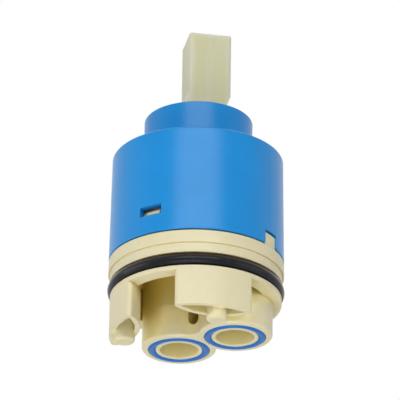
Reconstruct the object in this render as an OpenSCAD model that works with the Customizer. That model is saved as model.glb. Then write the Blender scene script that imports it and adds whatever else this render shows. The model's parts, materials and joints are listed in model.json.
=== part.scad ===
// Single-lever ceramic disc mixer cartridge, in millimetres.
// The axis is Z, the tips of the two locating pins lie on z = 0, the outlet side is -Y and both inlets
// are on the +Y side. The lever is drawn closed, turned to the hot end of its mixing travel.

/* [Housing] */
// Outer diameter of the housing body
body_d = 40; // [38:0.5:44]
// Height of the housing body, from its lower rim to the shoulder
body_h = 25.5; // [24:0.5:30]
// Loss of the housing's outer radius from its rim to the shoulder
housing_draft = 0.35; // [0:0.05:0.6]
// Outer diameter of the neck
neck_d = 25; // [24:0.2:28]
// Height of the neck above the shoulder
neck_h = 9.9; // [8:0.1:14]
// Wall thickness of the housing
housing_wall = 1.8; // [1.4:0.1:2.2]
// Rounding of the shoulder edge
shoulder_round = 0.4; // [0.2:0.1:1.2]
// Rounding of the neck's top edge
neck_round = 0.3; // [0.2:0.1:1]
// Width of each snap window
window_w = 5.7; // [4:0.1:7]
// Height of each snap window
window_h = 2.4; // [1.8:0.1:3]
// Height of the snap windows above the rim
window_rise = 4.45; // [4.2:0.05:5]
// Width of each key notch in the rim
notch_w = 4.6; // [3:0.1:6]
// Height of each key notch
notch_h = 3.4; // [2.4:0.1:4]

/* [Base] */
// Reach of the locating pins below the posts
pin_reach = 2.5; // [1.4:0.1:3]
// Diameter of the locating pins
locating_pin_d = 4.6; // [4:0.1:5.2]
// Rounding of the locating pins' tips
pin_tip = 0.8; // [0.3:0.1:1.2]
// Distance of the locating pins from the axis
locating_pin_place = 16.1; // [15.6:0.1:16.4]
// Angle of the locating pins from the outlet side
locating_pin_turn = 49.4; // [46:0.2:51]
// Height of the posts under the flange
post_h = 8.4; // [7:0.2:11]
// Width of each post across its two corners, before they are rounded
post_w = 18.9; // [17:0.1:19.6]
// Distance from the axis to the rounded rear of the posts
post_rear = 13; // [12.6:0.1:13.6]
// Angle of the posts from the outlet side
post_turn = 45.7; // [45:0.1:48]
// Wall thickness of the posts
post_wall = 1.2; // [0.9:0.1:1.6]
// Rounding of the posts' corners
post_tip = 0.9; // [0.4:0.1:1.2]
// Height of the lip below the sealing ring
lip_h = 1; // [0.8:0.1:1.6]
// Height of the narrow band above the sealing ring
low_band_h = 2.3; // [1.6:0.1:3]
// Height of the full-width band under the housing
top_band_h = 2.9; // [2:0.1:4]
// Height of the base floor above its top band
floor_rise = 3.5; // [3:0.1:4]
// Depth of the outlet chamber above the flange's underside
chamber_h = 8; // [7:0.2:8.6]
// Wall thickness of the spigot inside the housing
spigot_wall = 1.3; // [1:0.1:1.6]

/* [Inlet tubes] */
// Distance of each inlet tube from the middle plane
tube_side = 7.5; // [7.2:0.1:7.7]
// Distance of the inlet tubes behind the axis
tube_back = 5; // [4.6:0.1:5.4]
// Outer diameter of the inlet tubes
tube_d = 17; // [16.4:0.1:17.4]
// Bore of the inlet tubes
tube_bore_d = 8.8; // [8.4:0.1:9.2]
// Step from the post ends up to the tube ends
tube_step = 0.3; // [0.1:0.1:0.6]
// Rounding of the tube ends
tube_round = 0.7; // [0.2:0.1:0.9]
// Thickness of the lip between each bore and its seal
tube_lip = 1; // [0.6:0.1:1.2]
// Radius of the hollow that joins the fronts of the tubes
web_fillet = 3; // [2:0.2:6]
// Width of the coring slot between the tubes
web_slot_w = 2.7; // [1.8:0.1:3]
// Depth of the coring slot
web_slot_depth = 4.2; // [2:0.2:5]
// Height of the coring slot's lower end above the tube ends
web_slot_rise = 2.8; // [2.6:0.1:4]

/* [Seals] */
// Cord diameter of the sealing ring
ring_cord = 2.75; // [2.4:0.05:3.4]
// Reach of the sealing ring beyond the housing's radius
ring_proud = 0.2; // [0.1:0.05:0.4]
// Radial width of the inlet seals
inlet_seal_w = 1.6; // [1.2:0.1:1.8]
// Height of the inlet seals
inlet_seal_h = 2.5; // [1.8:0.1:2.8]
// Reach of the inlet seals past the tube ends
inlet_seal_proud = 0.3; // [0.1:0.1:0.8]
// Radial width of the disc seals
disc_seal_w = 1.5; // [1:0.1:1.8]
// Height of the disc seals
disc_seal_h = 1.7; // [1.2:0.1:2.4]

/* [Discs] */
// Thickness of the fixed ceramic disc
fixed_t = 4.5; // [4:0.1:5]
// Thickness of the moving ceramic disc
moving_t = 4.5; // [3.5:0.1:5]
// Diameter of the inlet ports in the fixed disc
inlet_port_d = 6; // [5:0.1:6.2]
// Distance of the inlet ports from the middle plane
inlet_port_side = 6.2; // [6:0.1:6.4]
// Distance of the inlet ports behind the axis
inlet_port_back = 4.8; // [4.6:0.1:5.2]
// Diameter of the outlet port
outlet_port_d = 7.8; // [6.6:0.1:8.2]
// Distance of the outlet port in front of the axis
outlet_port_front = 7; // [6.6:0.1:7.4]

/* [Lever] */
// Side of the square stem
stem_w = 9.9; // [8.4:0.1:10.2]
// Reach of the stem above the neck
stem_reach = 21.4; // [16:0.2:30]
// Offset of the stem's square head from the axis
stem_offset = 1.65; // [1.2:0.05:2]
// Rounding of the square head's upright edges
stem_corner = 0.8; // [0.3:0.1:1.4]
// Chamfer of the square head's top edges
stem_chamfer = 0.5; // [0.2:0.1:1]
// Height of the square head's lower end above the neck
seat_rise = 5.8; // [5:0.2:8]
// Height of the sloping part below the square head
slope_h = 4.1; // [2:0.1:5]
// Depth of the lever pivot below the neck's top
pivot_drop = 4; // [3.6:0.2:5]
// Diameter of the pivot pin
pivot_pin_d = 3; // [2.4:0.1:3.4]
// Travel of the lever from closed to open, in degrees
tilt_travel = 25; // [20:1:26]
// Travel of the lever from hot to cold, in degrees
mix_travel = 94; // [70:2:100]
// Radius of the ball that drives the carrier
ball_r = 3.2; // [2.8:0.1:3.4]
// Thickness of the rotor flange
rotor_flange_t = 2.4; // [2:0.1:3]
// Thickness of the glide ring
glide_t = 0.8; // [0.6:0.1:1.2]
// Radial width of the glide ring
glide_w = 2.4; // [1.6:0.1:3]
// Distance of the rotor's guide rails from the lever's plane
rail_gap = 10; // [9.8:0.1:10.6]

/* [Hidden] */
$fn = 96;

// Clearances
eps = 0.4;                 // depth by which a shape is sunk into the piece that it belongs to
over = 1;                  // depth by which a cut runs past the face that it opens
running = 0.05;            // radial play of turning parts
slide_play = 0.1;          // play of guided flats
seat_play = 0.15;          // play of pieces that stay where they are seated
film = 0.02;               // water film between the ceramic discs
part_line = 0.4;           // gap between the base and the housing's rim
groove_play = 0.45;        // room for the sealing ring across its groove
lever_play = 0.4;          // room at the ends of the lever's slot
lug_play = 0.6;            // angle left at each end of the mixing travel
tooth_side_gap = 1.1;      // room beside a snap tooth
tooth_head_gap = 1;        // room above a snap tooth
tooth_recess = 1.5;        // depth of a snap tooth's face inside the housing's outside
tab_head_gap = 0.6;        // room above a key tab
disc_lift = 0.2;           // height at which the disc seals carry the fixed disc
flange_gap = 0.7;          // room around the rotor's flange
disc_gap = 0.8;            // room around the moving disc at the ends of its slide
ball_gap = 0.6;            // room below the lever's ball
ball_side_gap = 0.3;       // room beside the lever's ball

// Small sizes
lip_inset = 0.45;          // depth of the lip inside the housing's radius
low_band_inset = 0.35;     // depth of the narrow band inside the housing's radius
tab_inset = 0.3;           // depth of a key tab inside the housing's radius
groove_wall = 1.25;        // wall between the sealing ring's groove and the chamber
rim_chamfer = 0.2;         // chamfer of the housing's lower rim
notch_corner = 0.4;        // chamfer of a key notch's corners
seal_edge = 0.2;           // chamfer of an inlet seal's outer end
stalk_step = 0.2;          // step from a locating pin to the thinner stalk that carries it
stalk_shift = 0.3;         // distance of the stalk from its pin, towards the post's outer wall
stalk_recess = 0.1;        // depth of the stalk's lower end inside the post
pocket_roof = 1;           // thickness between a post's pocket and the flange's underside
web_step = 0.3;            // height of the web's lower end above the tube ends
web_bite = 0.1;            // depth to which the hollow between the tubes runs into them
bore_rise = 2;             // reach of the tube bores above the chamber's roof
port_lip = 0.5;            // wall between a port and its disc seal
tooth_lead = 0.4;          // height of a snap tooth's sloping top
slit_w = 0.8;              // width of the slits beside a snap finger
slit_gap = 0.6;            // distance of a slit from its window's side
slit_rise = 0.5;           // height of a slit's lower end above the top band
key_w = 3;                 // width of the keys that hold the fixed disc
key_depth = 1.2;           // depth of those keys
key_drop = 0.5;            // distance of their tops below the disc's face
spigot_drop = 0.3;         // distance of the spigot's top below the disc's face
rotor_drop = 0.4;          // distance of the rotor's top below the neck's top
rotor_round = 0.5;         // chamfer of the rotor's top edge
pin_end_gap = 0.4;         // distance of the pivot pin's ends inside the rotor
glide_gap = 0.4;           // distance of the glide ring from the neck's bore
hub_wall = 3.6;            // wall of the lever's hub around its pivot pin
arm_inset = 0.7;           // depth of the lever arm's sides inside its ball
carrier_inset = 0.2;       // depth of the carrier's edge inside the moving disc's

// Radii
body_r = body_d / 2;
shoulder_r = body_r - housing_draft;
bore_r = body_r - housing_wall;
neck_r = neck_d / 2;
neck_bore_r = neck_r - housing_wall;
lip_r = body_r - lip_inset;
low_band_r = body_r - low_band_inset;
ring_mid_r = body_r + ring_proud - ring_cord / 2;
groove_r = ring_mid_r - ring_cord / 2 - running;
chamber_r = groove_r - groove_wall;
spigot_r = bore_r - seat_play;
spigot_in_r = spigot_r - spigot_wall;
tube_r = tube_d / 2;
tube_bore_r = tube_bore_d / 2;
seal_in_r = tube_bore_r + tube_lip;
seal_out_r = seal_in_r + inlet_seal_w;
locating_pin_r = locating_pin_d / 2;

// Heights, from the pin tips up
post_z = pin_reach;
tube_z = post_z + tube_step;
flange_z = post_z + post_h;
pocket_z = flange_z - pocket_roof;
groove_w = ring_cord + groove_play;
groove_z = flange_z + lip_h;
band_z = groove_z + groove_w;
step_z = band_z + low_band_h;
base_top_z = step_z + top_band_h;
rim_z = base_top_z + part_line;
shoulder_z = rim_z + body_h;
neck_top_z = shoulder_z + neck_h;
ceiling_z = shoulder_z - housing_wall;
roof_z = flange_z + chamber_h;
bore_top_z = roof_z + bore_rise;
floor_z = base_top_z + floor_rise;
window_z = rim_z + window_rise;
tooth_top_z = window_z + window_h - tooth_head_gap;
finger_top_z = tooth_top_z + tooth_lead;
fixed_z = floor_z + disc_lift;
moving_z = fixed_z + fixed_t + film;
carrier_z = moving_z + moving_t;
glide_z = ceiling_z - running - glide_t;
rotor_z = glide_z - rotor_flange_t;
carrier_top_z = rotor_z - seat_play;
rotor_top_z = neck_top_z - rotor_drop;
spigot_top_z = fixed_z + fixed_t - spigot_drop;
pivot_z = neck_top_z - pivot_drop;
seat_z = neck_top_z + seat_rise;
stem_top_z = neck_top_z + stem_reach;

// Posts: a rear arc through both corners and the rearmost point
post_corner_out = sqrt(pow(lip_r, 2) - pow(post_w / 2, 2));
post_sag = post_corner_out - post_rear;
post_arc_r = (pow(post_w / 2, 2) + pow(post_sag, 2)) / (2 * post_sag);
post_arc_out = post_rear + post_arc_r;

// Centre of a post's rounded corner, which touches the outer arc and the rear arc from inside
tip_r = lip_r - post_tip;
tip_out = (pow(post_arc_out, 2) + pow(tip_r, 2) - pow(post_arc_r - post_tip, 2)) / (2 * post_arc_out);
tip_side = sqrt(pow(tip_r, 2) - pow(tip_out, 2));
tip_from = atan2(tip_side, tip_out);
tip_to = atan2(tip_side, tip_out - post_arc_out);

// Centre of the hollow between the tubes, which runs a little way into both of them
web_fillet_y = tube_back - sqrt(pow(tube_r + web_fillet - web_bite, 2) - pow(tube_side, 2));

// Lever, drive and discs: the lever's own frame has x along the lever and y along its pivot
lever_turn = 90 - mix_travel / 2;
pocket_floor = 1.6;
ball_z = carrier_z + pocket_floor + ball_r + ball_gap;
arm_r = (pivot_z - ball_z) / cos(tilt_travel / 2);
travel = 2 * arm_r * sin(tilt_travel / 2);
arm_half = ball_r - arm_inset;
hub_r = pivot_pin_d / 2 + hub_wall;
stem_half = stem_w / 2;
slot_half_w = stem_half + seat_play;
slot_reach = hub_r / cos(tilt_travel) + (rotor_top_z - pivot_z) * tan(tilt_travel) + lever_play;
turret_r = neck_bore_r - running;
pivot_pin_len = 2 * (turret_r - pin_end_gap);
rotor_flange_r = bore_r - flange_gap;
lug_depth = 2.2;
lug_in_r = bore_r - lug_depth;
lug_half = 8;
moving_r = bore_r - travel / 2 - disc_gap;
carrier_r = moving_r - carrier_inset;
carrier_half_w = rail_gap - slide_play;
rail_t = 3;
rail_len = 20;
rail_lift = 0.6;
rail_z = carrier_z + rail_lift;
cavity_half_w = 4.2;
cavity_front = 4;
cavity_rear = -6.5;
cavity_end = cavity_front - cavity_half_w;
scoop_front = 6.4;
scoop_depth = 2.4;
wing_r = 2.4;
wing_x = -8.6;
wing_y = 3.8;
carrier_seal_x = -3.9;
carrier_seal_r = 8.2;
carrier_seal_w = 1.2;
carrier_seal_h = 1;
peg_x = 8.5;
peg_y = 4.5;
peg_r = 1.5;
peg_h = 2;
silencer_t = 1.2;
silencer_hole_r = 0.55;
silencer_pitch = 2.2;
silencer_first = cavity_end + 1;

// Where each inlet port and tube stands, hot on the +X side
function inlet_port(side) = [side * inlet_port_side, inlet_port_back];
function inlet_tube(side) = [side * tube_side, tube_back];
outlet_port = [0, -outlet_port_front];

// Points along an arc
function arc(centre, r, from, to, steps = 8) =
    [for (i = [0:steps]) let (a = from + (to - from) * i / steps) centre + r * [cos(a), sin(a)]];

// A ring with a square section
module ring(r_in, r_out, h) {
    difference() {
        cylinder(r = r_out, h = h);
        translate([0, 0, -over]) cylinder(r = r_in, h = h + 2 * over);
    }
}

// A wedge about the +X direction, reaching well past the part
module wedge(half_angle, h) {
    far = 2 * body_d;
    linear_extrude(h) polygon([[0, 0], [far, -far * tan(half_angle)], [far, far * tan(half_angle)]]);
}

// A rod with a rounded lower end on z = 0
module rounded_rod(r, h, round) {
    rotate_extrude() polygon(concat([[0, 0]], arc([r - round, round], round, -90, 0), [[r, h], [0, h]]));
}

// A slot with round ends along x
module round_slot(from, to, half_w, h) {
    linear_extrude(h) {
        translate([from, 0]) circle(half_w);
        translate([to, 0]) circle(half_w);
        translate([from, -half_w]) square([to - from, 2 * half_w]);
    }
}

// A square with rounded corners about the origin
module rounded_square(w, corner) {
    inner = w / 2 - corner;
    square([w, 2 * inner], center = true);
    square([2 * inner, w], center = true);
    for (x = [-inner, inner], y = [-inner, inner]) translate([x, y]) circle(corner);
}

module in_lever_frame() {
    rotate(lever_turn) children();
}

// The carrier and what rides with it, at the closed end of the slide
module at_closed_end() {
    in_lever_frame() translate([-travel / 2, 0, 0]) children();
}

// Housing
module key_notch_profile() {
    half = notch_w / 2;
    polygon([[-half - notch_corner, -eps], [-half - notch_corner, 0], [-half, notch_corner], [-half, notch_h],
             [half, notch_h], [half, notch_corner], [half + notch_corner, 0], [half + notch_corner, -eps]]);
}

module housing_shell() {
    rotate_extrude() polygon(concat(
        [[bore_r, rim_z], [body_r - rim_chamfer, rim_z], [body_r, rim_z + rim_chamfer]],
        arc([shoulder_r - shoulder_round, shoulder_z - shoulder_round], shoulder_round, 0, 90),
        [[neck_r, shoulder_z]],
        arc([neck_r - neck_round, neck_top_z - neck_round], neck_round, 0, 90),
        [[neck_bore_r, neck_top_z], [neck_bore_r, ceiling_z], [bore_r, ceiling_z]]));
}

module mixing_stop() {
    rotate(-90) translate([0, 0, rotor_z]) intersection() {
        ring(lug_in_r, bore_r + eps, ceiling_z - rotor_z + eps);
        wedge(lug_half, ceiling_z - rotor_z + eps);
    }
}

module housing() {
    color("#2d8bd8") {
        difference() {
            housing_shell();
            for (turn = [-90, 90])
                rotate(turn) translate([bore_r - eps, -window_w / 2, window_z])
                    cube([housing_wall + 2 * eps, window_w, window_h]);
            for (turn = [0, 180])
                rotate(turn) translate([bore_r - eps, 0, rim_z]) rotate([90, 0, 90])
                    linear_extrude(housing_wall + 2 * eps) key_notch_profile();
        }
        mixing_stop();
    }
}

// Base
module base_turning() {
    rotate_extrude() polygon([
        [0, roof_z], [chamber_r, roof_z], [chamber_r, flange_z], [lip_r, flange_z], [lip_r, groove_z],
        [groove_r, groove_z], [groove_r, band_z], [low_band_r, band_z], [low_band_r, step_z],
        [body_r, step_z], [body_r, base_top_z], [spigot_r, base_top_z], [spigot_r, spigot_top_z],
        [spigot_in_r, spigot_top_z], [spigot_in_r, floor_z], [0, floor_z]]);
}

module inlet_tube_outer() {
    top_z = roof_z + eps;
    rotate_extrude() polygon(concat([[0, top_z], [0, tube_z]],
        arc([tube_r - tube_round, tube_z + tube_round], tube_round, -90, 0),
        [[tube_r, top_z]]));
}

// Fills the front cusp between the tubes with a hollow that runs into both
module tube_web() {
    low_z = tube_z + web_step;
    translate([0, 0, low_z]) linear_extrude(roof_z - low_z + eps) difference() {
        polygon([inlet_tube(1), inlet_tube(-1), [0, web_fillet_y]]);
        translate([0, web_fillet_y]) circle(web_fillet);
    }
}

// Upright coring slot in the web, with a round lower end
module web_slot() {
    slot_z = tube_z + web_slot_rise;
    half_w = web_slot_w / 2;
    back_y = web_fillet_y + web_fillet + web_slot_depth;
    translate([0, back_y, slot_z + half_w]) rotate([90, 0, 0]) linear_extrude(web_slot_depth + web_fillet) {
        circle(half_w);
        translate([-half_w, 0]) square([web_slot_w, roof_z - slot_z - half_w]);
    }
}

// Lens outline of a post, drawn in by inset
module post_outline(inset) {
    intersection() {
        circle(lip_r - inset);
        translate([post_arc_out, 0]) circle(post_arc_r - inset);
    }
}

// The same lens with rounded corners
module rounded_post_outline() {
    upper = arc([tip_out, tip_side], post_tip, tip_from, tip_to);
    lower = arc([tip_out, -tip_side], post_tip, -tip_to, -tip_from);
    intersection() {
        post_outline(0);
        polygon(concat(upper, [[0, tip_side], [0, -tip_side]], lower,
                       [[body_d, -tip_side], [body_d, tip_side]]));
    }
}

module post(side) {
    rotate(-90 + side * post_turn) translate([0, 0, post_z]) difference() {
        linear_extrude(roof_z - post_z + eps) rounded_post_outline();
        translate([0, 0, -eps]) linear_extrude(pocket_z - post_z + eps) post_outline(post_wall);
    }
}

// Round-tipped pin on a stalk that grows out of the post's pocket and its outer wall
module locating_pin(side) {
    stalk_z = post_z + stalk_recess;
    rotate(-90 + side * locating_pin_turn) translate([locating_pin_place, 0, 0]) {
        rounded_rod(locating_pin_r, stalk_z, pin_tip);
        translate([stalk_shift, 0, stalk_z - eps])
            cylinder(r = locating_pin_r - stalk_step, h = pocket_z - stalk_z + 2 * eps);
    }
}

// Tubes, posts and pins, kept out of the sealing ring's groove
module base_legs() {
    difference() {
        union() {
            for (side = [-1, 1]) {
                translate(inlet_tube(side)) inlet_tube_outer();
                post(side);
                locating_pin(side);
            }
            tube_web();
        }
        translate([0, 0, flange_z + eps]) ring(chamber_r + eps, body_d, chamber_h + eps);
    }
}

module key_tab() {
    tab_h = notch_h + part_line - tab_head_gap;
    intersection() {
        translate([0, 0, base_top_z - eps]) ring(spigot_r - eps, body_r - tab_inset, tab_h + eps);
        translate([0, -notch_w / 2 + slide_play, base_top_z - eps])
            cube([body_d, notch_w - 2 * slide_play, tab_h + eps]);
    }
}

// Snap tooth at the tip of its finger, well back in the lower part of its window
module snap_tooth() {
    tooth_w = window_w - 2 * tooth_side_gap;
    tooth_out = body_r - tooth_recess;
    tooth_z = window_z + slide_play;
    translate([0, tooth_w / 2, 0]) rotate([90, 0, 0]) linear_extrude(tooth_w)
        polygon([[spigot_r - eps, tooth_z], [tooth_out, tooth_z], [tooth_out, tooth_top_z],
                 [spigot_r - eps, finger_top_z]]);
}

// Slits that free a snap finger from the spigot, and the gap above its tip
module finger_slits() {
    side_y = window_w / 2 + slit_gap;
    depth = spigot_wall + 2 * eps;
    for (side = [-1, 1])
        translate([spigot_in_r - eps, side * side_y - slit_w / 2, base_top_z + slit_rise])
            cube([depth, slit_w, spigot_top_z - base_top_z]);
    translate([spigot_in_r - eps, -side_y, finger_top_z])
        cube([depth, 2 * side_y, spigot_top_z - finger_top_z + eps]);
}

module disc_key(extra) {
    depth = key_depth + extra;
    width = key_w + 2 * extra;
    translate([spigot_in_r - depth, -width / 2, 0]) cube([depth + eps, width, fixed_t - key_drop]);
}

module seal_groove(r_in, w, depth) {
    ring(r_in - running, r_in + w + running, depth);
}

module disc_seal_groove(port_d) {
    translate([0, 0, fixed_z - disc_seal_h - slide_play])
        seal_groove(port_d / 2 + port_lip, disc_seal_w, disc_seal_h + over);
}

module base() {
    color("#ddd3ae") difference() {
        union() {
            base_turning();
            base_legs();
            for (turn = [0, 180]) rotate(turn) {
                key_tab();
                translate([0, 0, floor_z - eps]) disc_key(0);
            }
            for (turn = [-90, 90]) rotate(turn) snap_tooth();
        }
        for (side = [-1, 1]) {
            translate(inlet_tube(side)) {
                translate([0, 0, -over]) cylinder(r = tube_bore_r, h = bore_top_z + over);
                translate([0, 0, tube_z - over])
                    seal_groove(seal_in_r, inlet_seal_w, over + inlet_seal_h - inlet_seal_proud + slide_play);
            }
            translate(inlet_port(side)) {
                translate([0, 0, bore_top_z - over])
                    cylinder(d = inlet_port_d, h = floor_z - bore_top_z + 2 * over);
                disc_seal_groove(inlet_port_d);
            }
        }
        translate(outlet_port) {
            translate([0, 0, roof_z - over]) cylinder(d = outlet_port_d, h = floor_z - roof_z + 2 * over);
            disc_seal_groove(outlet_port_d);
        }
        web_slot();
        for (turn = [-90, 90]) rotate(turn) finger_slits();
    }
}

// Seals
module base_o_ring() {
    color("#2b2b30") translate([0, 0, groove_z + groove_w / 2])
        rotate_extrude() translate([ring_mid_r, 0]) circle(ring_cord / 2);
}

module inlet_seal(side) {
    low_z = tube_z - inlet_seal_proud;
    top_z = low_z + inlet_seal_h;
    color("#2a5fbe") translate(inlet_tube(side)) rotate_extrude() polygon([
        [seal_in_r, low_z + seal_edge], [seal_in_r + seal_edge, low_z], [seal_out_r - seal_edge, low_z],
        [seal_out_r, low_z + seal_edge], [seal_out_r, top_z], [seal_in_r, top_z]]);
}

module inlet_seal_hot() {
    inlet_seal(1);
}

module inlet_seal_cold() {
    inlet_seal(-1);
}

module disc_seal(port, port_d) {
    inner = port_d / 2 + port_lip;
    color("#2b2b30") translate([port[0], port[1], fixed_z - disc_seal_h])
        ring(inner, inner + disc_seal_w, disc_seal_h);
}

module disc_seal_hot() {
    disc_seal(inlet_port(1), inlet_port_d);
}

module disc_seal_cold() {
    disc_seal(inlet_port(-1), inlet_port_d);
}

module disc_seal_outlet() {
    disc_seal(outlet_port, outlet_port_d);
}

// Ceramic discs
module disc_port(d) {
    translate([0, 0, -over]) cylinder(d = d, h = fixed_t + 2 * over);
}

module fixed_disc() {
    color("#f2f0ea") translate([0, 0, fixed_z]) difference() {
        cylinder(r = spigot_in_r - seat_play, h = fixed_t);
        for (turn = [0, 180]) rotate(turn) translate([0, 0, -eps]) disc_key(seat_play);
        for (side = [-1, 1]) translate(inlet_port(side)) disc_port(inlet_port_d);
        translate(outlet_port) disc_port(outlet_port_d);
    }
}

module mixing_cavity(h) {
    round_slot(cavity_rear, cavity_end, cavity_half_w, h);
    translate([wing_x, 0, 0]) rotate(90) round_slot(-wing_y, wing_y, wing_r, h);
}

module carrier_pegs(extra) {
    for (side = [-1, 1])
        translate([peg_x, side * peg_y, -peg_h - extra]) cylinder(r = peg_r + extra, h = peg_h + extra + eps);
}

module moving_disc() {
    color("#f2f0ea") at_closed_end() translate([0, 0, moving_z]) difference() {
        cylinder(r = moving_r, h = moving_t);
        translate([0, 0, -over]) {
            mixing_cavity(moving_t + 2 * over);
            round_slot(cavity_rear, scoop_front - cavity_half_w, cavity_half_w, scoop_depth + over);
        }
        translate([0, 0, moving_t]) carrier_pegs(running);
    }
}

// Perforated plate at the top of the mixing cavity
module silencer() {
    color("#c9ccd0") at_closed_end() translate([0, 0, carrier_z - silencer_t]) difference() {
        round_slot(cavity_rear, cavity_end, cavity_half_w - slide_play, silencer_t);
        for (column = [-1:1], row = [0:4])
            translate([silencer_first - row * silencer_pitch, column * silencer_pitch, -over])
                cylinder(r = silencer_hole_r, h = silencer_t + 2 * over);
    }
}

module carrier_seal() {
    color("#2b2b30") at_closed_end() translate([carrier_seal_x, 0, carrier_z])
        ring(carrier_seal_r, carrier_seal_r + carrier_seal_w, carrier_seal_h);
}

// Carrier: a disc with two guided flats and a pocket for the lever's ball
module carrier() {
    carrier_h = carrier_top_z - carrier_z;
    pocket_half = ball_r + running;
    pocket_side = ball_r + ball_side_gap;
    color("#e9e6da") at_closed_end() translate([0, 0, carrier_z]) {
        difference() {
            intersection() {
                cylinder(r = carrier_r, h = carrier_h);
                translate([-body_r, -carrier_half_w, -over])
                    cube([body_d, 2 * carrier_half_w, carrier_h + 2 * over]);
            }
            translate([-pocket_half, -pocket_side, pocket_floor])
                cube([2 * pocket_half, 2 * pocket_side, carrier_h]);
            translate([carrier_seal_x, 0, -over])
                seal_groove(carrier_seal_r, carrier_seal_w, over + carrier_seal_h + slide_play);
        }
        carrier_pegs(0);
    }
}

// Rotor: the flanged turret that carries the lever
module rotor_rail(side) {
    rail_h = rotor_z - rail_z + eps;
    translate([0, 0, rail_z]) intersection() {
        translate([-rail_len / 2, side * (rail_gap + rail_t / 2) - rail_t / 2, 0])
            cube([rail_len, rail_t, rail_h]);
        cylinder(r = rotor_flange_r, h = rail_h);
    }
}

module rotor() {
    color("#e6dfc4") in_lever_frame() difference() {
        union() {
            translate([0, 0, rotor_z]) cylinder(r = rotor_flange_r, h = rotor_flange_t);
            rotate_extrude() polygon([[0, rotor_z], [turret_r, rotor_z],
                                      [turret_r, rotor_top_z - rotor_round],
                                      [turret_r - rotor_round, rotor_top_z], [0, rotor_top_z]]);
            for (side = [-1, 1]) rotor_rail(side);
        }
        translate([-slot_reach, -slot_half_w, rotor_z - over])
            cube([2 * slot_reach, 2 * slot_half_w, rotor_top_z - rotor_z + 2 * over]);
        translate([0, 0, pivot_z]) rotate([90, 0, 0])
            cylinder(d = pivot_pin_d + 2 * film, h = body_d, center = true);
        rotate(180) translate([0, 0, rotor_z - over]) intersection() {
            ring(lug_in_r - part_line, body_r, rotor_flange_t + 2 * over);
            wedge(mix_travel / 2 + lug_half + lug_play, rotor_flange_t + 2 * over);
        }
    }
}

module glide_ring() {
    inner = neck_bore_r + glide_gap;
    color("#f4f4ef") translate([0, 0, glide_z]) ring(inner, inner + glide_w, glide_t);
}

// Stem: a square head set off the axis, on a hub with an arm that ends in the driving ball
module chamfered_bar(h) {
    inner = stem_half - stem_chamfer;
    side_h = h - stem_chamfer;
    rotate([90, 0, 0]) linear_extrude(stem_w, center = true)
        polygon([[-stem_half, 0], [stem_half, 0], [stem_half, side_h],
                 [inner, h], [-inner, h], [-stem_half, side_h]]);
}

module stem_head() {
    head_h = stem_top_z - seat_z;
    translate([stem_offset, 0, seat_z]) intersection() {
        linear_extrude(head_h) rounded_square(stem_w, stem_corner);
        chamfered_bar(head_h);
        rotate(90) chamfered_bar(head_h);
    }
}

// Joins the hub to the head with sloping sides
module stem_block() {
    slope_z = seat_z - slope_h;
    rotate([90, 0, 0]) linear_extrude(stem_w, center = true)
        polygon([[-hub_r, pivot_z], [hub_r, pivot_z], [hub_r, slope_z], [stem_offset + stem_half, seat_z],
                 [stem_offset - stem_half, seat_z], [-hub_r, slope_z]]);
}

module stem_arm() {
    translate([0, 0, pivot_z]) rotate([0, tilt_travel / 2, 0])
        translate([-arm_half, -arm_half, -arm_r]) cube([2 * arm_half, 2 * arm_half, arm_r]);
}

module stem() {
    color("#cfcca6") in_lever_frame() difference() {
        union() {
            stem_head();
            stem_block();
            translate([0, 0, pivot_z]) rotate([90, 0, 0]) cylinder(r = hub_r, h = stem_w, center = true);
            stem_arm();
            translate([-travel / 2, 0, ball_z]) sphere(ball_r);
        }
        translate([0, 0, pivot_z]) rotate([90, 0, 0])
            cylinder(d = pivot_pin_d + 2 * running, h = body_d, center = true);
    }
}

module pivot_pin() {
    color("#b9bdc2") in_lever_frame() translate([0, 0, pivot_z]) rotate([90, 0, 0])
        cylinder(d = pivot_pin_d, h = pivot_pin_len, center = true);
}

housing();
base();
base_o_ring();
inlet_seal_hot();
inlet_seal_cold();
disc_seal_hot();
disc_seal_cold();
disc_seal_outlet();
fixed_disc();
moving_disc();
silencer();
carrier_seal();
carrier();
rotor();
glide_ring();
stem();
pivot_pin();
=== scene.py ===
"""Looks of a single-lever ceramic disc mixer cartridge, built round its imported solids."""

import json
import math
from typing import NamedTuple

import bpy
import numpy as np
from bpy.props import FloatProperty, FloatVectorProperty, IntProperty, PointerProperty
from mathutils import Matrix, Vector


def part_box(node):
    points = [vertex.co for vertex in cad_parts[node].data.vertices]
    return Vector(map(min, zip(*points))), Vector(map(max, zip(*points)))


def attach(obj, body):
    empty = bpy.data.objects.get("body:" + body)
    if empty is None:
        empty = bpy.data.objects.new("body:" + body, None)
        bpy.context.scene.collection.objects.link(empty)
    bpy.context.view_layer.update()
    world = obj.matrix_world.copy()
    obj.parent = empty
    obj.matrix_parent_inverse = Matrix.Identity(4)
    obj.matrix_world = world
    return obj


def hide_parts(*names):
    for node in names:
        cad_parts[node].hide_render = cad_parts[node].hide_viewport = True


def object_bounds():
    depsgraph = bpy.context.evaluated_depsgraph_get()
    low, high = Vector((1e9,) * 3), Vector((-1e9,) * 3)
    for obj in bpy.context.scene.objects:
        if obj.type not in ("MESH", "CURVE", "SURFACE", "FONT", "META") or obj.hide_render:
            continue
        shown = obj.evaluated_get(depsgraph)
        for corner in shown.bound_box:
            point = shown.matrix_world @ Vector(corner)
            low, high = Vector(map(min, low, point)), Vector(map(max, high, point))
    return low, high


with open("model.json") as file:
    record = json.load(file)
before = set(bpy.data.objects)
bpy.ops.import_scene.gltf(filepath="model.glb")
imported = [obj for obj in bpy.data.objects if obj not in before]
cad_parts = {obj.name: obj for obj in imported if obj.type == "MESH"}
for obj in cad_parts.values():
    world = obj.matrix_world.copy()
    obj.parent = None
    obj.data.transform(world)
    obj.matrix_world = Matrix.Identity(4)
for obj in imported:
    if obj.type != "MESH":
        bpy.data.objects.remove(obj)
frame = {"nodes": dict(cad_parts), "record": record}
CAD_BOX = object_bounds()

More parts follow.
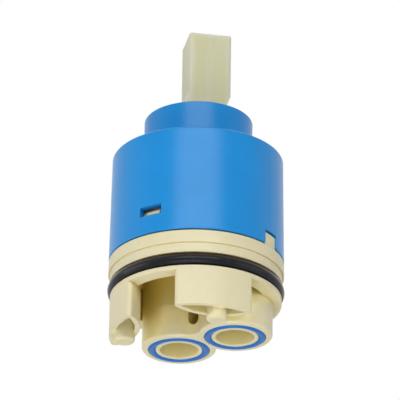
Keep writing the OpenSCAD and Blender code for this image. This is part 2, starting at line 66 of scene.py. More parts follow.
bl_info = {
    "name": "Mixer cartridge looks",
    "version": (1, 0, 0),
    "blender": (4, 5, 0),
    "location": "3D View > Sidebar > Cartridge",
    "description": "Finishes, seals and studio for a ceramic disc mixer cartridge",
    "category": "Object",
}

MM = 0.001
QUARTER_TURN = math.pi / 2
FULL_TURN = 2.0 * math.pi
WHITE = (1.0, 1.0, 1.0)
SIDES = ("hot", "cold")
SENSOR_WIDTH_MM = 36.0
VIEW_DEPTH = 20.0


class LampPlace(NamedTuple):
    """Size of a lamp, and its place from the part's middle along the camera's directions, in metres."""

    width: float
    height: float
    right: float
    up: float
    back: float


LAMPS = {
    "front": LampPlace(width=1.1, height=1.1, right=0.0, up=0.0, back=1.4),
    "left": LampPlace(width=0.8, height=0.8, right=-1.15, up=0.0, back=0.12),
    "right": LampPlace(width=0.8, height=0.8, right=1.1, up=0.0, back=0.4),
    "under": LampPlace(width=0.8, height=0.8, right=-0.12, up=-0.7, back=0.9),
    "top": LampPlace(width=1.15, height=0.45, right=0.0, up=0.88, back=0.74),
    "back": LampPlace(width=1.0, height=1.0, right=0.0, up=0.6, back=-1.2),
}


# What the frame says


def node_middle(name):
    """Middle of a CAD node's box."""
    low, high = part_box(name)
    return (low + high) / 2


def node_radii(name):
    """Least and greatest distance of a ring node's points from its own upright axis."""
    mesh = frame["nodes"][name].data
    points = np.empty(len(mesh.vertices) * 3)
    mesh.vertices.foreach_get("co", points)
    offset = points.reshape(-1, 3) - np.array(node_middle(name))
    reach = np.hypot(offset[:, 0], offset[:, 1])
    return reach.min(), reach.max()


def node_height(name):
    """Height of a CAD node's box."""
    low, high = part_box(name)
    return high.z - low.z


def mount(name):
    """A mount of the record by its name."""
    return next(entry for entry in frame["record"]["mounts"] if entry["name"] == name)


def joint(name):
    """A joint of the record by its name."""
    return next(entry for entry in frame["record"]["behaviour"]["joints"] if entry["name"] == name)


# Settings that a user would change


def colour_setting(label, words, default):
    """A colour property in linear light."""
    return FloatVectorProperty(
        name=label, description=words, subtype="COLOR", size=3, min=0.0, max=1.0, default=default
    )


def length_setting(label, words, default):
    """A length property in metres."""
    return FloatProperty(name=label, description=words, subtype="DISTANCE", unit="LENGTH", default=default)


def power_setting(label, words, default):
    """A lamp's power in watts."""
    return FloatProperty(
        name=label, description=words, subtype="POWER", unit="POWER", min=0.0, default=default
    )


def angle_setting(label, words, degrees):
    """An angle property, given in degrees and stored in radians."""
    return FloatProperty(name=label, description=words, subtype="ANGLE", default=math.radians(degrees))


def number_setting(label, words, default):
    """A plain number property."""
    return FloatProperty(name=label, description=words, default=default)


def count_setting(label, words, default):
    """A property that counts the divisions of a ring."""
    return IntProperty(name=label, description=words, min=12, default=default)


class CartridgeColours(bpy.types.PropertyGroup):
    """Base colours of the finishes, and colours of painted light and painted shade."""

    housing: colour_setting("Housing", "Blue of the moulded housing", (0.002, 0.245, 0.64))
    base: colour_setting("Base", "Cream of the moulded base", (0.703, 0.642, 0.415))
    # The next three colours are painted light and shade on the base: painted bounce light in half-open
    # hollows, painted warm shade in low hollows and painted deeper shade in high hollows.
    base_painted_bounce: colour_setting("Base bounce", "Warm tone of half-open hollows", (0.985, 0.875, 0.47))
    base_painted_shade_low: colour_setting("Base hollows", "Warm tone in the low hollows", (0.83, 0.715, 0.295))
    base_painted_shade_high: colour_setting("Base recesses", "Deeper tone in the high hollows", (0.56, 0.42, 0.085))
    pin: colour_setting("Pins", "Cream of the locating pins", (0.715, 0.645, 0.39))
    stem: colour_setting("Stem", "Milky natural plastic of the stem", (0.56342, 0.55554, 0.32505))
    # Painted light along the stem's edges and top, where light shines through the thin plastic; the flow
    # streaks and worn edges use this colour too.
    stem_painted_edge_light: colour_setting("Stem skin", "Paler plastic along the stem's edges", (0.625, 0.612, 0.485))
    sealing_ring: colour_setting("Sealing ring", "Black of the ring in the base", (0.008, 0.008, 0.011))
    # Painted shade: a warm brown band on the sealing ring's top that stands in for the groove's shaded
    # ceiling.
    ring_painted_groove_shade: colour_setting("Ring glow", "Warm tone on the ring under the band", (0.052, 0.03, 0.011))
    inlet_seal: colour_setting("Inlet seals", "Blue of the seals in the tube ends", (0.012, 0.145, 0.5))
    rubber_dust: colour_setting("Rubber dust", "Grey of the bloom on rubber", (0.25, 0.25, 0.27))
    ceramic: colour_setting("Ceramic", "White of the lapped discs", (0.84, 0.82, 0.78))
    inner_plastic: colour_setting("Inner plastic", "White of the rotor and carrier", (0.74, 0.71, 0.6))
    steel: colour_setting("Steel", "Colour of the pivot pin", (0.56, 0.57, 0.58))
    floor_dark: colour_setting("Floor dark", "Darker tone of the floor's paper", (0.82, 0.82, 0.82))
    floor_light: colour_setting("Floor light", "Lighter tone of the floor's paper", (0.86, 0.86, 0.86))


class CartridgeSurfaces(bpy.types.PropertyGroup):
    """Sizes of the fine surface detail, and reaches and levels of painted light and painted shade."""

    edge_round: length_setting("Edge rounding", "Softening of moulded edges", 0.22 * MM)
    cloud_size: length_setting("Clouds", "Width of the clouds in moulded plastic", 9.0 * MM)
    mottle_size: length_setting("Mottle", "Width of the fine mottle in plastic", 1.6 * MM)
    grain_size: length_setting("Mould grain", "Spacing of the mould's spark texture", 0.26 * MM)
    grain_depth: length_setting("Grain depth", "Depth of the mould's spark texture", 0.007 * MM)
    # Reach and levels of the painted shade and painted bounce light in the base's hollows.
    recess_reach: length_setting("Recess reach", "Reach of the deeper tone in hollows", 16.0 * MM)
    recess_low: length_setting("Recess low", "Level below which hollows have the warm tone", 5.0 * MM)
    recess_high: length_setting("Recess high", "Level above which hollows are deepest in tone", 10.5 * MM)
    recess_soft: length_setting("Recess soft", "Softness of the level above half-open hollows", 0.5 * MM)
    milk_depth: length_setting("Milk depth", "Depth of light under moulded plastic", 1.0 * MM)
    stem_milk_depth: length_setting("Stem milk depth", "Depth of light under the stem's skin", 2.0 * MM)
    stem_width: length_setting("Stem width", "Width of the stem's square", 9.9 * MM)
    # Width of the painted light along the stem's edges and top.
    stem_painted_edge_light: length_setting("Stem skin", "Width of the paler skin along the stem's edges", 1.9 * MM)
    streak_width: length_setting("Streak width", "Width of the stem's flow streaks", 1.3 * MM)
    flash_height: length_setting("Flash height", "Ridge left by the mould on the sealing ring", 0.05 * MM)
    # Levels of the painted shade band on the sealing ring's top.
    painted_groove_shade_start: number_setting("Glow low", "Where the ring's glow starts, in cords above its middle", 0.12)
    painted_groove_shade_full: number_setting("Glow high", "Where the ring's glow is full, in cords above its middle", 0.42)
    seal_edge: length_setting("Seal edge", "Rounding of the inlet seals' edges", 0.75 * MM)
    dust_size: length_setting("Dust size", "Width of the dusty patches on rubber", 2.4 * MM)
    rubber_grain: length_setting("Rubber grain", "Spacing of the grain on rubber", 0.12 * MM)
    rubber_depth: length_setting("Rubber depth", "Depth of the grain on rubber", 0.004 * MM)
    speckle_size: length_setting("Speckle", "Width of the speckle in the ceramic", 0.5 * MM)
    scratch_size: length_setting("Scratches", "Length of the level scratches on the steel pin", 0.6 * MM)
    pin_tip: length_setting("Pin tip", "Rounding of the locating pins' tips", 0.8 * MM)
    pin_top: length_setting("Pin top", "Level where the locating pins grow out of the base", 9.9 * MM)
    pin_fillet: length_setting("Pin fillet", "Flare at the upper end of the locating pins", 0.5 * MM)
    pin_skin: length_setting("Pin skin", "Thickness of the pin columns over the pins", 0.02 * MM)
    ring_steps: count_setting("Ring steps", "Divisions round a ring", 240)
    pin_steps: count_setting("Pin steps", "Divisions round a locating pin", 60)


class CartridgeStage(bpy.types.PropertyGroup):
    """Camera and studio."""

    azimuth: angle_setting("Azimuth", "Camera's turn from the outlet side", 32.309)
    elevation: angle_setting("Elevation", "Camera's height angle, from below", -24.846)
    roll: angle_setting("Roll", "Turn of the picture", 0.9)
    distance: length_setting("Distance", "From the camera to its target", 1.0285)
    side: length_setting("Side", "Target's offset to the camera's right", 0.606 * MM)
    target_height: length_setting("Target height", "Height of the camera's target", 36.85 * MM)
    lens: number_setting("Lens", "Focal length in mm on a 36 mm sensor", 403.2)
    fill: number_setting("Fill", "Strength of the soft light all round", 0.3)
    front: power_setting("Front", "Power of the large light round the camera", 0.8)
    left: power_setting("Left", "Power of the light on the camera's left", 4.0)
    right: power_setting("Right", "Power of the light on the camera's right", 2.2)
    under: power_setting("Under", "Power of the light below the camera", 7.4)
    top: power_setting("Top", "Power of the light above the camera", 6.6)
    back: power_setting("Back", "Power of the light behind the part", 4.0)
    floor_height: length_setting("Floor height", "Level of the studio floor, below the camera", -1.2)
    floor_reach: length_setting("Floor reach", "From the floor's middle to its sides", 12.0)
    floor_lift: length_setting("Floor lift", "How fast the floor's far rim lifts", 0.02)
    floor_mottle: length_setting("Floor mottle", "Width of the mottle in the floor's paper", 0.05)
    floor_glow: number_setting("Floor glow", "Paleness that the floor shows the camera", 0.7)


# Shader maths


def mixed(first, second, share):
    """A colour that is a share of the way from the first to the second."""
    return tuple(start + (end - start) * share for start, end in zip(first, second))


def tinted(colour, share):
    """A colour made lighter or darker by a share."""
    return tuple(min(1.0, channel * share) for channel in colour)


class Wire:
    """A shader value. Arithmetic on it adds Math nodes to its tree."""

    def __init__(self, tree, socket):
        self.tree = tree
        self.socket = socket

    def math(self, operation, *others):
        """One Math node with this value first."""
        return self.tree.node("ShaderNodeMath", {"operation": operation}, [self, *others])

    def __add__(self, other):
        return self.math("ADD", other)

    __radd__ = __add__

    def __mul__(self, other):
        return self.math("MULTIPLY", other)

    __rmul__ = __mul__

    def __sub__(self, other):
        return self.math("SUBTRACT", other)

    def __rsub__(self, other):
        return self.tree.node("ShaderNodeMath", {"operation": "SUBTRACT"}, [other, self])

    def ramp(self, low, high):
        """Smooth step from 0 at low to 1 at high."""
        settings = {"interpolation_type": "SMOOTHSTEP"}
        inputs = {"Value": self, "From Min": low, "From Max": high, "To Min": 0.0, "To Max": 1.0}
        return self.tree.node("ShaderNodeMapRange", settings, inputs)

    def beside(self, output):
        """Another output of the node that this value comes from."""
        return Wire(self.tree, self.socket.node.outputs[output])


class ShaderTree:
    """The shader nodes of a material or world, made anew."""

    def __init__(self, owner, output):
        owner.use_nodes = True
        self.nodes = owner.node_tree.nodes
        self.links = owner.node_tree.links
        self.nodes.clear()
        self.output = self.nodes.new(output)

    def node(self, kind, settings=None, inputs=None, output=0):
        """Adds a node, sets its settings first, then its sockets, and returns one of its outputs."""
        made = self.nodes.new(kind)
        for key, value in (settings or {}).items():
            setattr(made, key, value)
        pairs = inputs.items() if isinstance(inputs, dict) else enumerate(inputs or [])
        for key, value in pairs:
            self.feed(made.inputs[key], value)
        return Wire(self, made.outputs[output])

    def feed(self, socket, value):
        """Links a wire to a socket, or sets the socket's own value."""
        if isinstance(value, Wire):
            self.links.new(value.socket, socket)
        elif socket.type == "RGBA":
            socket.default_value = (*value[:3], 1.0)
        else:
            socket.default_value = value

    def close(self, shader):
        """Makes a shader the tree's surface."""
        self.feed(self.output.inputs["Surface"], shader)

    def seen(self):
        """1 for rays from the camera, through glass or off a gloss, and 0 for rays that only light."""
        ray = self.node("ShaderNodeLightPath", output="Is Camera Ray")
        looking = ray.math("MAXIMUM", ray.beside("Is Transmission Ray"))
        return looking.math("MAXIMUM", ray.beside("Is Glossy Ray"))


class Finish(ShaderTree):
    """A node material, with the patterns that its surface is made from."""

    def __init__(self, name):
        self.material = bpy.data.materials.new(name)
        super().__init__(self.material, "ShaderNodeOutputMaterial")
        self.place = self.node("ShaderNodeTexCoord", output="Object")

    def noise(self, size, detail=2.0, roughness=0.5, place=None):
        """Noise whose features are about size metres across."""
        inputs = {
            "Vector": place or self.place, "Scale": 1.0 / size, "Detail": detail, "Roughness": roughness
        }
        return self.node("ShaderNodeTexNoise", {"noise_dimensions": "3D"}, inputs, output="Fac")

    def mapped(self, **inputs):
        """The place after a shift, turn or stretch."""
        return self.node("ShaderNodeMapping", None, {"Vector": self.place, **inputs})

    def blend(self, factor, first, second):
        """Mix of two colours."""
        settings = {"data_type": "RGBA", "clamp_factor": True}
        made = self.node("ShaderNodeMix", settings, {"Factor": factor}).socket.node
        colours = [socket for socket in made.inputs if socket.type == "RGBA"]
        for socket, colour in zip(colours, (first, second)):
            self.feed(socket, colour)
        return Wire(self, next(socket for socket in made.outputs if socket.type == "RGBA"))

    def soft_edges(self, radius):
        """Normals that round the edges by radius."""
        return self.node("ShaderNodeBevel", {"samples": 6}, {"Radius": radius})

    def edges(self, rounded):
        """1 along edges and 0 on faces: how far the rounded normal leans away from the face's own."""
        own = self.node("ShaderNodeNewGeometry", output="True Normal")
        settings = {"operation": "DOT_PRODUCT"}
        agreement = self.node("ShaderNodeVectorMath", settings, [rounded, own], output="Value")
        return (1.0 - agreement).ramp(low=0.02, high=0.2)

    def worn(self, shade, colour, rounded, rub):
        """A shade that is rubbed paler along the edges, more where rub is high."""
        wear = 0.5
        paleness = 0.3
        return self.blend(self.edges(rounded) * rub * wear, shade, mixed(colour, WHITE, paleness))

    def recesses(self, reach):
        """1 deep in a piece's own corners and hollows and 0 on open faces."""
        settings = {"samples": 8, "only_local": True}
        sky = self.node("ShaderNodeAmbientOcclusion", settings, {"Distance": reach}, output="AO")
        return (1.0 - sky).ramp(low=0.15, high=0.8)

    def parts(self, vector):
        """The three numbers of a vector."""
        first = self.node("ShaderNodeSeparateXYZ", None, [vector])
        return [first.beside(axis) for axis in "XYZ"]

    def rising(self, shade, colour, low, high):
        """A shade that turns to another colour between two levels."""
        height = self.parts(self.place)[2]
        return self.blend(height.ramp(low, high), shade, colour)

    def bump(self, height, distance, normal=None):
        """Normals from a height that varies over distance metres."""
        inputs = {"Height": height, "Distance": distance, "Strength": 1.0}
        if normal is not None:
            inputs["Normal"] = normal
        return self.node("ShaderNodeBump", None, inputs)

    def surface(self, **inputs):
        """Closes the material with a Principled surface. Underscores in names stand for spaces."""
        sockets = {key.replace("_", " "): value for key, value in inputs.items()}
        self.close(self.node("ShaderNodeBsdfPrincipled", None, sockets))
        return self.material


# Finishes


def milky(weight, depth):
    """Principled inputs for light that goes under the skin: red the deepest, blue the least."""
    red, green, blue = (1.0, 0.8, 0.5)
    return {
        "Subsurface_Weight": weight,
        "Subsurface_Radius": (depth * red, depth * green, depth * blue),
        "Subsurface_Scale": 1.0,
    }


def painted_hollow_light_and_shade(finish, shade, colour, hollows, surfaces):
    """Paints light and shade into hollows: painted bounce light in half-open hollows, painted warm shade in
    deep ones.

    hollows has the colours of the painted bounce light in half-open hollows, of the painted shade in low
    deep ones and of the painted shade in high deep ones.
    """
    half_open_painted_bounce, low_hollow_painted_shade, high_hollow_painted_shade = hollows
    share_above = 0.35
    height = finish.parts(finish.place)[2]
    level = height.ramp(surfaces.recess_low, surfaces.recess_high)
    soft = surfaces.recess_soft
    above = height.ramp(surfaces.recess_high - soft, surfaces.recess_high + soft)
    recess = finish.recesses(surfaces.recess_reach)
    # Painted bounce light in half-open hollows below the high level and painted shade above it, then
    # painted warm shade in deep hollows.
    painted_bounce_and_shade = finish.blend(above, half_open_painted_bounce, mixed(colour, high_hollow_painted_shade, share_above))
    shade = finish.blend(recess.ramp(low=0.0, high=0.35), shade, painted_bounce_and_shade)
    return finish.blend(recess.ramp(low=0.46, high=1.0), shade, finish.blend(level, low_hollow_painted_shade, high_hollow_painted_shade))


def moulded_plastic(name, colour, surfaces, roughness, cloud, milk=0.0, gloss=1.5, hollows=None, root=None):
    """Moulded plastic: cloudy colour, spark-textured gloss, soft worn edges and some light under the skin.

    cloud is how far the colour varies, milk is the weight of the light under the skin, and gloss is the
    index of refraction. hollows has the colours of the painted bounce light and painted shade in hollows.
    root is the colour of a painted shade and the two levels between which it takes over.
    """
    cloud_share = 0.7
    roughness_spread = 0.1
    finish = Finish(name)
    clouds = finish.noise(surfaces.cloud_size, detail=3.0)
    fine = finish.noise(surfaces.mottle_size)
    grain = finish.noise(surfaces.grain_size, detail=1.0)
    tone = (clouds * cloud_share + fine * (1.0 - cloud_share)).ramp(low=0.3, high=0.7)
    shade = finish.blend(tone, tinted(colour, 1.0 - cloud), tinted(colour, 1.0 + cloud))
    rounded = finish.soft_edges(surfaces.edge_round)
    shade = finish.worn(shade, colour, rounded, fine)
    # Painted bounce light and painted shade in the hollows.
    if hollows is not None:
        shade = painted_hollow_light_and_shade(finish, shade, colour, hollows, surfaces)
    # Painted shade that takes over between two levels.
    if root is not None:
        shade = finish.rising(shade, *root)
    return finish.surface(
        Base_Color=shade,
        Roughness=fine * roughness_spread + (roughness - roughness_spread / 2),
        Normal=finish.bump(grain, surfaces.grain_depth, rounded),
        IOR=gloss,
        **milky(weight=milk, depth=surfaces.milk_depth),
    )


def natural_plastic(name, core, skin, surfaces, middle, turn, top):
    """Milky unpigmented plastic of a square bar: painted light along its edges and top end, where light
    shines through, and flow streaks along it.

    In the bar's own frame, turned by turn and moved by middle, the edges are where both distances from its
    axis are near half its width.
    """
    roughness = 0.33
    mottle_roughness = 0.1
    streak_roughness = 0.06
    painted_edge_light_share = 0.7
    streak_share = 0.45
    streak_stretch = 0.06
    finish = Finish(name)
    bar = finish.mapped(Rotation=(0.0, 0.0, -turn), Location=(-middle, 0.0, 0.0))
    along, across, level = finish.parts(bar)
    half = surfaces.stem_width / 2
    inner = half - surfaces.stem_painted_edge_light
    # Masks of the painted light: near the bar's edges and near its top end.
    edges = along.math("ABSOLUTE").math("MINIMUM", across.math("ABSOLUTE")).ramp(inner, half)
    end = level.ramp(top - surfaces.stem_painted_edge_light, top)
    drawn = finish.mapped(Scale=(1.0, 1.0, streak_stretch))
    streaks = finish.noise(surfaces.streak_width, place=drawn).ramp(low=0.35, high=0.68)
    fine = finish.noise(surfaces.mottle_size)
    grain = finish.noise(surfaces.grain_size, detail=1.0)
    # Painted light at the edges and top, plus the real flow streaks, lighten the core colour.
    pale = edges.math("MAXIMUM", end) * painted_edge_light_share + streaks * streak_share
    rounded = finish.soft_edges(surfaces.edge_round)
    return finish.surface(
        Base_Color=finish.worn(finish.blend(pale, core, skin), skin, rounded, fine),
        Roughness=fine * mottle_roughness + streaks * streak_roughness + roughness,
        Normal=finish.bump(grain, surfaces.grain_depth, rounded),
        IOR=1.5,
        **milky(weight=0.7, depth=surfaces.stem_milk_depth),
    )


def moulded_rubber(name, colour, colours, surfaces, roughness, bloom, gloss=1.5, glow=None):
    """Rubber: dark skin with a pale dusty bloom and a fine matt grain.

    bloom is how far the dust covers the colour, and gloss is the index of refraction. glow is the colour of
    a painted shade band and the two levels between which it takes over.
    """
    dust_roughness = 0.12
    finish = Finish(name)
    dust = finish.noise(surfaces.dust_size, detail=4.0, roughness=0.6).ramp(low=0.45, high=0.8)
    grain = finish.noise(surfaces.rubber_grain, detail=1.0)
    shade = finish.blend(dust * bloom, colour, colours.rubber_dust)
    # Painted shade band between two levels, when glow is given.
    if glow is not None:
        shade = finish.rising(shade, *glow)
    return finish.surface(
        Base_Color=shade,
        Roughness=dust * dust_roughness + roughness,
        Normal=finish.bump(grain, surfaces.rubber_depth),
        IOR=gloss,
    )


def lapped_ceramic(name, colour, surfaces):
    """Alumina: near-white, dense, with a faint speckle and a polished skin."""
    speckle_shade = 0.95
    roughness = 0.16
    speckle_roughness = 0.08
    finish = Finish(name)
    speckle = finish.noise(surfaces.speckle_size).ramp(low=0.35, high=0.75)
    return finish.surface(
        Base_Color=finish.blend(speckle, tinted(colour, speckle_shade), colour),
        Roughness=speckle * speckle_roughness + roughness,
        IOR=1.7,
    )


def ground_steel(name, colour, surfaces):
    """Ground steel: metal with fine scratches that run level."""
    roughness = 0.2
    scratch_roughness = 0.2
    scratch_thinness = 12.0
    finish = Finish(name)
    squeezed = finish.mapped(Scale=(1.0, 1.0, scratch_thinness))
    scratches = finish.noise(surfaces.scratch_size, detail=3.0, place=squeezed)
    return finish.surface(
        Base_Color=colour, Metallic=1.0, Roughness=scratches * scratch_roughness + roughness
    )


def dress(material, *nodes):
    """Puts one material on CAD nodes."""
    for name in nodes:
        slots = frame["nodes"][name].data.materials
        slots.clear()
        slots.append(material)


# Surfaces


def new_object(name, data):
    """A scene object that holds data."""
    made = bpy.data.objects.new(name, data)
    bpy.context.scene.collection.objects.link(made)
    return made


def new_piece(name, points, material, closed, smooth):
    """A piece whose quads join a grid of points, which closes on itself both ways or has open sides."""
    rows, columns = points.shape[:2]
    sides = 0 if closed else 1
    row, column = np.meshgrid(np.arange(rows - sides), np.arange(columns - sides), indexing="ij")
    next_row = (row + 1) % rows
    next_column = (column + 1) % columns
    corners = ((row, column), (next_row, column), (next_row, next_column), (row, next_column))
    faces = np.stack([down * columns + over for down, over in corners], axis=-1)
    mesh = bpy.data.meshes.new(name)
    mesh.from_pydata(points.reshape(-1, 3), [], faces.reshape(-1, 4))
    mesh.polygons.foreach_set("use_smooth", np.full(len(mesh.polygons), smooth))
    mesh.materials.append(material)
    mesh.update()
    return new_object(name, mesh)


def ring_piece(name, section, centre, steps, material):
    """A closed section (radius, height) carried once round an upright axis through centre.

    The point at section place s and turn t is centre + (radius(s) cos t, radius(s) sin t, height(s)).
    """
    turn = np.linspace(0.0, FULL_TURN, steps, endpoint=False)[:, None]
    radius = section[None, :, 0]
    height = np.broadcast_to(section[None, :, 1], (steps, len(section)))
    points = np.stack([radius * np.cos(turn), radius * np.sin(turn), height], axis=-1) + np.array(centre)
    return new_piece(name, points, material, closed=True, smooth=True)


def quarter_circle(radius, height, rounding, start, steps):
    """Section points of a quarter circle about (radius, height), against the clock from the start angle."""
    angle = start + np.linspace(0.0, QUARTER_TURN, steps)
    return np.stack([radius + rounding * np.cos(angle), height + rounding * np.sin(angle)], axis=-1)


def column_section(radius, tip, high, flare, steps=24):
    """Half section of an upright pin's skin, round at its lower end and flared at its upper one.

    The lower end is a quarter circle of radius tip. Above it the outside keeps the radius, plus flare times
    the eighth power of the share of the height. The inside is tucked in by a quarter of tip.
    """
    flare_power = 8
    tuck = tip / 4
    rim = radius - tip
    wrap = quarter_circle(rim, tip, tip, -QUARTER_TURN, steps // 2)
    share = np.linspace(0.0, 1.0, steps)[1:]
    outside = np.stack([radius + flare * share**flare_power, tip + (high - tip) * share], axis=-1)
    inside = np.array([[rim - tuck, high], [rim - tuck, tuck]])
    return np.concatenate([wrap, outside, inside])


def cord_section(middle_radius, cord, flash, steps=192):
    """Round cord section with two low mould ridges, 45 degrees above and below its outside.

    The section's radius is half the cord, less flash, plus a narrow bell curve of height flash at each
    ridge.
    """
    ridge_width = 0.05
    ridge_angle = math.pi / 4
    angle = np.linspace(-math.pi, math.pi, steps, endpoint=False)
    ridges = sum(np.exp(-(((angle - place) / ridge_width) ** 2)) for place in (-ridge_angle, ridge_angle))
    radius = cord / 2 - flash + flash * ridges
    return np.stack([middle_radius + radius * np.cos(angle), radius * np.sin(angle)], axis=-1)


def washer_section(inner, outer, half, edge, steps=8):
    """Rectangular ring section with rounded corners, from half below its middle to half above.

    Each corner is a quarter circle of radius edge about a centre set in by edge from both sides. The
    corners follow each other against the clock.
    """
    near = inner + edge
    far = outer - edge
    level = half - edge
    centres = ((far, level), (near, level), (near, -level), (far, -level))
    corners = [
        quarter_circle(radius, height, edge, turn * QUARTER_TURN, steps)
        for turn, (radius, height) in enumerate(centres)
    ]
    return np.concatenate(corners)


# Pieces


class CARTRIDGE_OT_housing(bpy.types.Operator):
    """Blue moulded finish of the housing"""

    bl_idname = "cartridge.housing"
    bl_label = "Housing"

    def execute(self, context):
        colours = context.scene.cartridge_colours
        surfaces = context.scene.cartridge_surfaces
        blue = moulded_plastic(
            "housing_blue", colours.housing, surfaces, roughness=0.3, cloud=0.035, gloss=1.36
        )
        dress(blue, "housing")
        return {"FINISHED"}


class CARTRIDGE_OT_base(bpy.types.Operator):
    """Cream moulded finish of the base with painted light and shade in its hollows, and the smooth skins of
    its locating pins with painted shade up into the posts' pockets
    """

    bl_idname = "cartridge.base"
    bl_label = "Base"

    def execute(self, context):
        colours = context.scene.cartridge_colours
        surfaces = context.scene.cartridge_surfaces
        moulding = {"surfaces": surfaces, "roughness": 0.42, "cloud": 0.03, "milk": 0.15}
        # Painted bounce light in half-open hollows, painted warm shade in low hollows and painted deeper
        # shade in high hollows.
        hollows = (colours.base_painted_bounce, colours.base_painted_shade_low, colours.base_painted_shade_high)
        dress(moulded_plastic("base_cream", colours.base, hollows=hollows, **moulding), "base")
        post_end = mount("post_seat")["pos_m"][2]
        # Painted warm shade on the pins from the posts' ends up into the pockets.
        root = (colours.base_painted_shade_low, post_end, surfaces.pin_top)
        warm = moulded_plastic("pin_cream", colours.pin, root=root, **moulding)
        for side in SIDES:
            pin = mount(f"locating_pin_{side}_side")
            radius = pin["dims"]["r_mm"] * MM + surfaces.pin_skin
            section = column_section(radius, surfaces.pin_tip, surfaces.pin_top, surfaces.pin_fillet)
            foot = (pin["pos_m"][0], pin["pos_m"][1], 0.0)
            column = ring_piece(f"pin_column_{side}", section, foot, surfaces.pin_steps, warm)
            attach(column, "body")
        return {"FINISHED"}


class CARTRIDGE_OT_stem(bpy.types.Operator):
    """Milky natural finish of the lever's stem, with painted light along its edges and top"""

    bl_idname = "cartridge.stem"
    bl_label = "Stem"

    def execute(self, context):
        colours = context.scene.cartridge_colours
        surfaces = context.scene.cartridge_surfaces
        slide = Vector(joint("disc_slide")["axis"])
        square = Vector(mount("stem_square")["pos_m"])
        natural = natural_plastic(
            "stem_natural", colours.stem, colours.stem_painted_edge_light, surfaces,
            middle=square.dot(slide), turn=math.atan2(slide.y, slide.x), top=square.z,
        )
        dress(natural, "stem")
        return {"FINISHED"}


class CARTRIDGE_OT_inner_parts(bpy.types.Operator):
    """Finishes of the rotor, slider, discs, inner seals and pivot pin"""

    bl_idname = "cartridge.inner_parts"
    bl_label = "Inner parts"

    def execute(self, context):
        colours = context.scene.cartridge_colours
        surfaces = context.scene.cartridge_surfaces
        white = moulded_plastic("inner_white", colours.inner_plastic, surfaces, roughness=0.4, cloud=0.03)
        dress(white, "rotor", "carrier", "glide_ring", "silencer")
        dress(lapped_ceramic("ceramic_white", colours.ceramic, surfaces), "fixed_disc", "moving_disc")
        dress(ground_steel("pin_steel", colours.steel, surfaces), "pivot_pin")
        black = moulded_rubber(
            "inner_rubber", colours.sealing_ring, colours, surfaces, roughness=0.5, bloom=0.1
        )
        dress(black, "disc_seal_hot", "disc_seal_cold", "disc_seal_outlet", "carrier_seal")
        return {"FINISHED"}


class CARTRIDGE_OT_sealing_ring(bpy.types.Operator):
    """Black sealing ring in the base's groove, with a painted shade band along its top"""

    bl_idname = "cartridge.sealing_ring"
    bl_label = "Sealing ring"

    def execute(self, context):
        surfaces = context.scene.cartridge_surfaces
        colours = context.scene.cartridge_colours
        cord = node_height("base_o_ring")
        outer = node_radii("base_o_ring")[1]
        section = cord_section(outer - cord / 2, cord, surfaces.flash_height)
        middle = node_middle("base_o_ring")
        rubber = moulded_rubber(
            "black_rubber", colours.sealing_ring, colours, surfaces, roughness=0.2, bloom=0.02, gloss=1.27,
            # Painted shade: warm brown band on the ring's top, standing in for the shaded groove above it.
            glow=(
                colours.ring_painted_groove_shade,
                middle.z + cord * surfaces.painted_groove_shade_start,
                middle.z + cord * surfaces.painted_groove_shade_full,
            ),
        )
        ring = ring_piece("sealing_ring", section, middle, surfaces.ring_steps, rubber)
        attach(ring, "body")
        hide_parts("base_o_ring")
        return {"FINISHED"}


class CARTRIDGE_OT_inlet_seals(bpy.types.Operator):
    """Blue ring seals in the ends of both inlet tubes"""

    bl_idname = "cartridge.inlet_seals"
    bl_label = "Inlet seals"

    def execute(self, context):
        surfaces = context.scene.cartridge_surfaces
        colours = context.scene.cartridge_colours
        rubber = moulded_rubber(
            "seal_blue", colours.inlet_seal, colours, surfaces, roughness=0.38, bloom=0.03, gloss=1.35
        )
        for side in SIDES:
            node = f"inlet_seal_{side}"
            inner, outer = node_radii(node)
            section = washer_section(inner, outer, node_height(node) / 2, surfaces.seal_edge)
            seal = ring_piece(f"tube_seal_{side}", section, node_middle(node), surfaces.ring_steps, rubber)
            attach(seal, "body")
            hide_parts(node)
        return {"FINISHED"}


# Studio


def floor_piece(stage, material, steps=48):
    """Pale studio floor: a flat square grid whose far rim lifts.

    Beyond a flat share of the reach, the lift is floor_lift times the square of the further share.
    """
    flat_share = 0.5
    place = np.linspace(-stage.floor_reach, stage.floor_reach, steps)
    across, along = np.meshgrid(place, place, indexing="ij")
    beyond = np.maximum(0.0, np.hypot(across, along) / stage.floor_reach - flat_share)
    points = np.stack([across, along, stage.floor_height + stage.floor_lift * beyond**2], axis=-1)
    return new_piece("studio_floor", points, material, closed=False, smooth=False)


def pale_floor_finish(stage, colours):
    """Pale paper with a faint mottle, lifted by a glow that only the camera and reflections see."""
    finish = Finish("pale_floor")
    mottle = finish.noise(stage.floor_mottle, detail=3.0)
    shade = finish.blend(mottle, colours.floor_dark, colours.floor_light)
    paper = finish.node("ShaderNodeBsdfDiffuse", None, {"Color": shade})
    glow = finish.node("ShaderNodeEmission", None, {"Color": shade, "Strength": stage.floor_glow})
    lifted = finish.node("ShaderNodeAddShader", None, [paper, glow])
    finish.close(finish.node("ShaderNodeMixShader", None, [finish.seen(), paper, lifted]))
    return finish.material


def white_world(fill):
    """World that is white to the camera and in reflections, and lights the rest at the fill's strength."""
    world = bpy.data.worlds.new("studio_white")
    tree = ShaderTree(world, "ShaderNodeOutputWorld")
    soft = tree.node("ShaderNodeBackground", None, {"Color": WHITE, "Strength": fill})
    white = tree.node("ShaderNodeBackground", None, {"Color": WHITE, "Strength": 1.0})
    tree.close(tree.node("ShaderNodeMixShader", None, [tree.seen(), soft, white]))
    bpy.context.scene.world = world


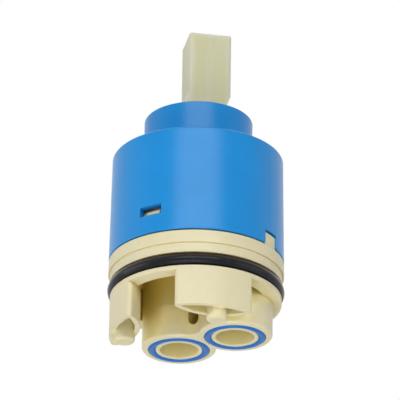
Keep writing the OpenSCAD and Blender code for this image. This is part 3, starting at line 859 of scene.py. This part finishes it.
def soft_lamp(name, power, width, height, place, target):
    """An area lamp that faces target."""
    data = bpy.data.lights.new(name, "AREA")
    data.energy = power
    data.shape = "RECTANGLE"
    data.size = width
    data.size_y = height
    lamp = new_object(name, data)
    lamp.location = place
    lamp.rotation_euler = (target - place).to_track_quat("-Z", "Y").to_euler()


def camera_axes(stage):
    """Right, up and back directions of the unrolled camera."""
    right = Vector((math.cos(stage.azimuth), math.sin(stage.azimuth), 0.0))
    outward = Vector((math.sin(stage.azimuth), -math.cos(stage.azimuth), 0.0))
    back = outward * math.cos(stage.elevation) + Vector((0.0, 0.0, math.sin(stage.elevation)))
    return right, back.cross(right), back


def make_camera(stage):
    """Long-lens camera below the part, aimed near its middle."""
    right, up, back = camera_axes(stage)
    cosine = math.cos(stage.roll)
    sine = math.sin(stage.roll)
    columns = (right * cosine + up * sine, up * cosine - right * sine, back)
    target = right * stage.side + Vector((0.0, 0.0, stage.target_height))
    data = bpy.data.cameras.new("camera")
    data.lens = stage.lens
    data.sensor_width = SENSOR_WIDTH_MM
    data.clip_end = VIEW_DEPTH
    camera = new_object("camera", data)
    turn = Matrix(columns).transposed().to_4x4()
    camera.matrix_world = Matrix.Translation(target + back * stage.distance) @ turn
    bpy.context.scene.camera = camera


class CARTRIDGE_OT_stage(bpy.types.Operator):
    """Camera, soft lamps, white world and pale floor"""

    bl_idname = "cartridge.stage"
    bl_label = "Stage"

    def execute(self, context):
        stage = context.scene.cartridge_stage
        colours = context.scene.cartridge_colours
        context.scene.view_settings.view_transform = "Standard"
        make_camera(stage)
        white_world(stage.fill)
        right, up, back = camera_axes(stage)
        middle = (CAD_BOX[0] + CAD_BOX[1]) / 2
        for name, lamp in LAMPS.items():
            place = middle + right * lamp.right + up * lamp.up + back * lamp.back
            soft_lamp(f"{name}_lamp", getattr(stage, name), lamp.width, lamp.height, place, middle)
        floor = floor_piece(stage, pale_floor_finish(stage, colours))
        return {"FINISHED"}


class CARTRIDGE_PT_sidebar(bpy.types.Panel):
    """Lists the cartridge's pieces and settings"""

    bl_idname = "CARTRIDGE_PT_sidebar"
    bl_label = "Mixer cartridge"
    bl_space_type = "VIEW_3D"
    bl_region_type = "UI"
    bl_category = "Cartridge"

    def draw(self, context):
        for operator in OPERATORS:
            self.layout.operator(operator.bl_idname)
        for group in SETTINGS:
            values = getattr(context.scene, group)
            for key in values.bl_rna.properties.keys():
                if key not in ("rna_type", "name"):
                    self.layout.prop(values, key)


SETTINGS = {
    "cartridge_colours": CartridgeColours,
    "cartridge_surfaces": CartridgeSurfaces,
    "cartridge_stage": CartridgeStage,
}
OPERATORS = (
    CARTRIDGE_OT_housing,
    CARTRIDGE_OT_base,
    CARTRIDGE_OT_stem,
    CARTRIDGE_OT_inner_parts,
    CARTRIDGE_OT_sealing_ring,
    CARTRIDGE_OT_inlet_seals,
    CARTRIDGE_OT_stage,
)


def register():
    """Registers the settings, operators and panel."""
    for name, group in SETTINGS.items():
        bpy.utils.register_class(group)
        setattr(bpy.types.Scene, name, PointerProperty(type=group))
    for operator in OPERATORS:
        bpy.utils.register_class(operator)
    bpy.utils.register_class(CARTRIDGE_PT_sidebar)


def unregister():
    """Removes what register added."""
    bpy.utils.unregister_class(CARTRIDGE_PT_sidebar)
    for operator in reversed(OPERATORS):
        bpy.utils.unregister_class(operator)
    for name, group in SETTINGS.items():
        delattr(bpy.types.Scene, name)
        bpy.utils.unregister_class(group)


def main():
    """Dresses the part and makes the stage."""
    register()
    bpy.ops.cartridge.housing()
    bpy.ops.cartridge.base()
    bpy.ops.cartridge.stem()
    bpy.ops.cartridge.inner_parts()
    bpy.ops.cartridge.sealing_ring()
    bpy.ops.cartridge.inlet_seals()
    bpy.ops.cartridge.stage()


if __name__ == "__main__":
    main()
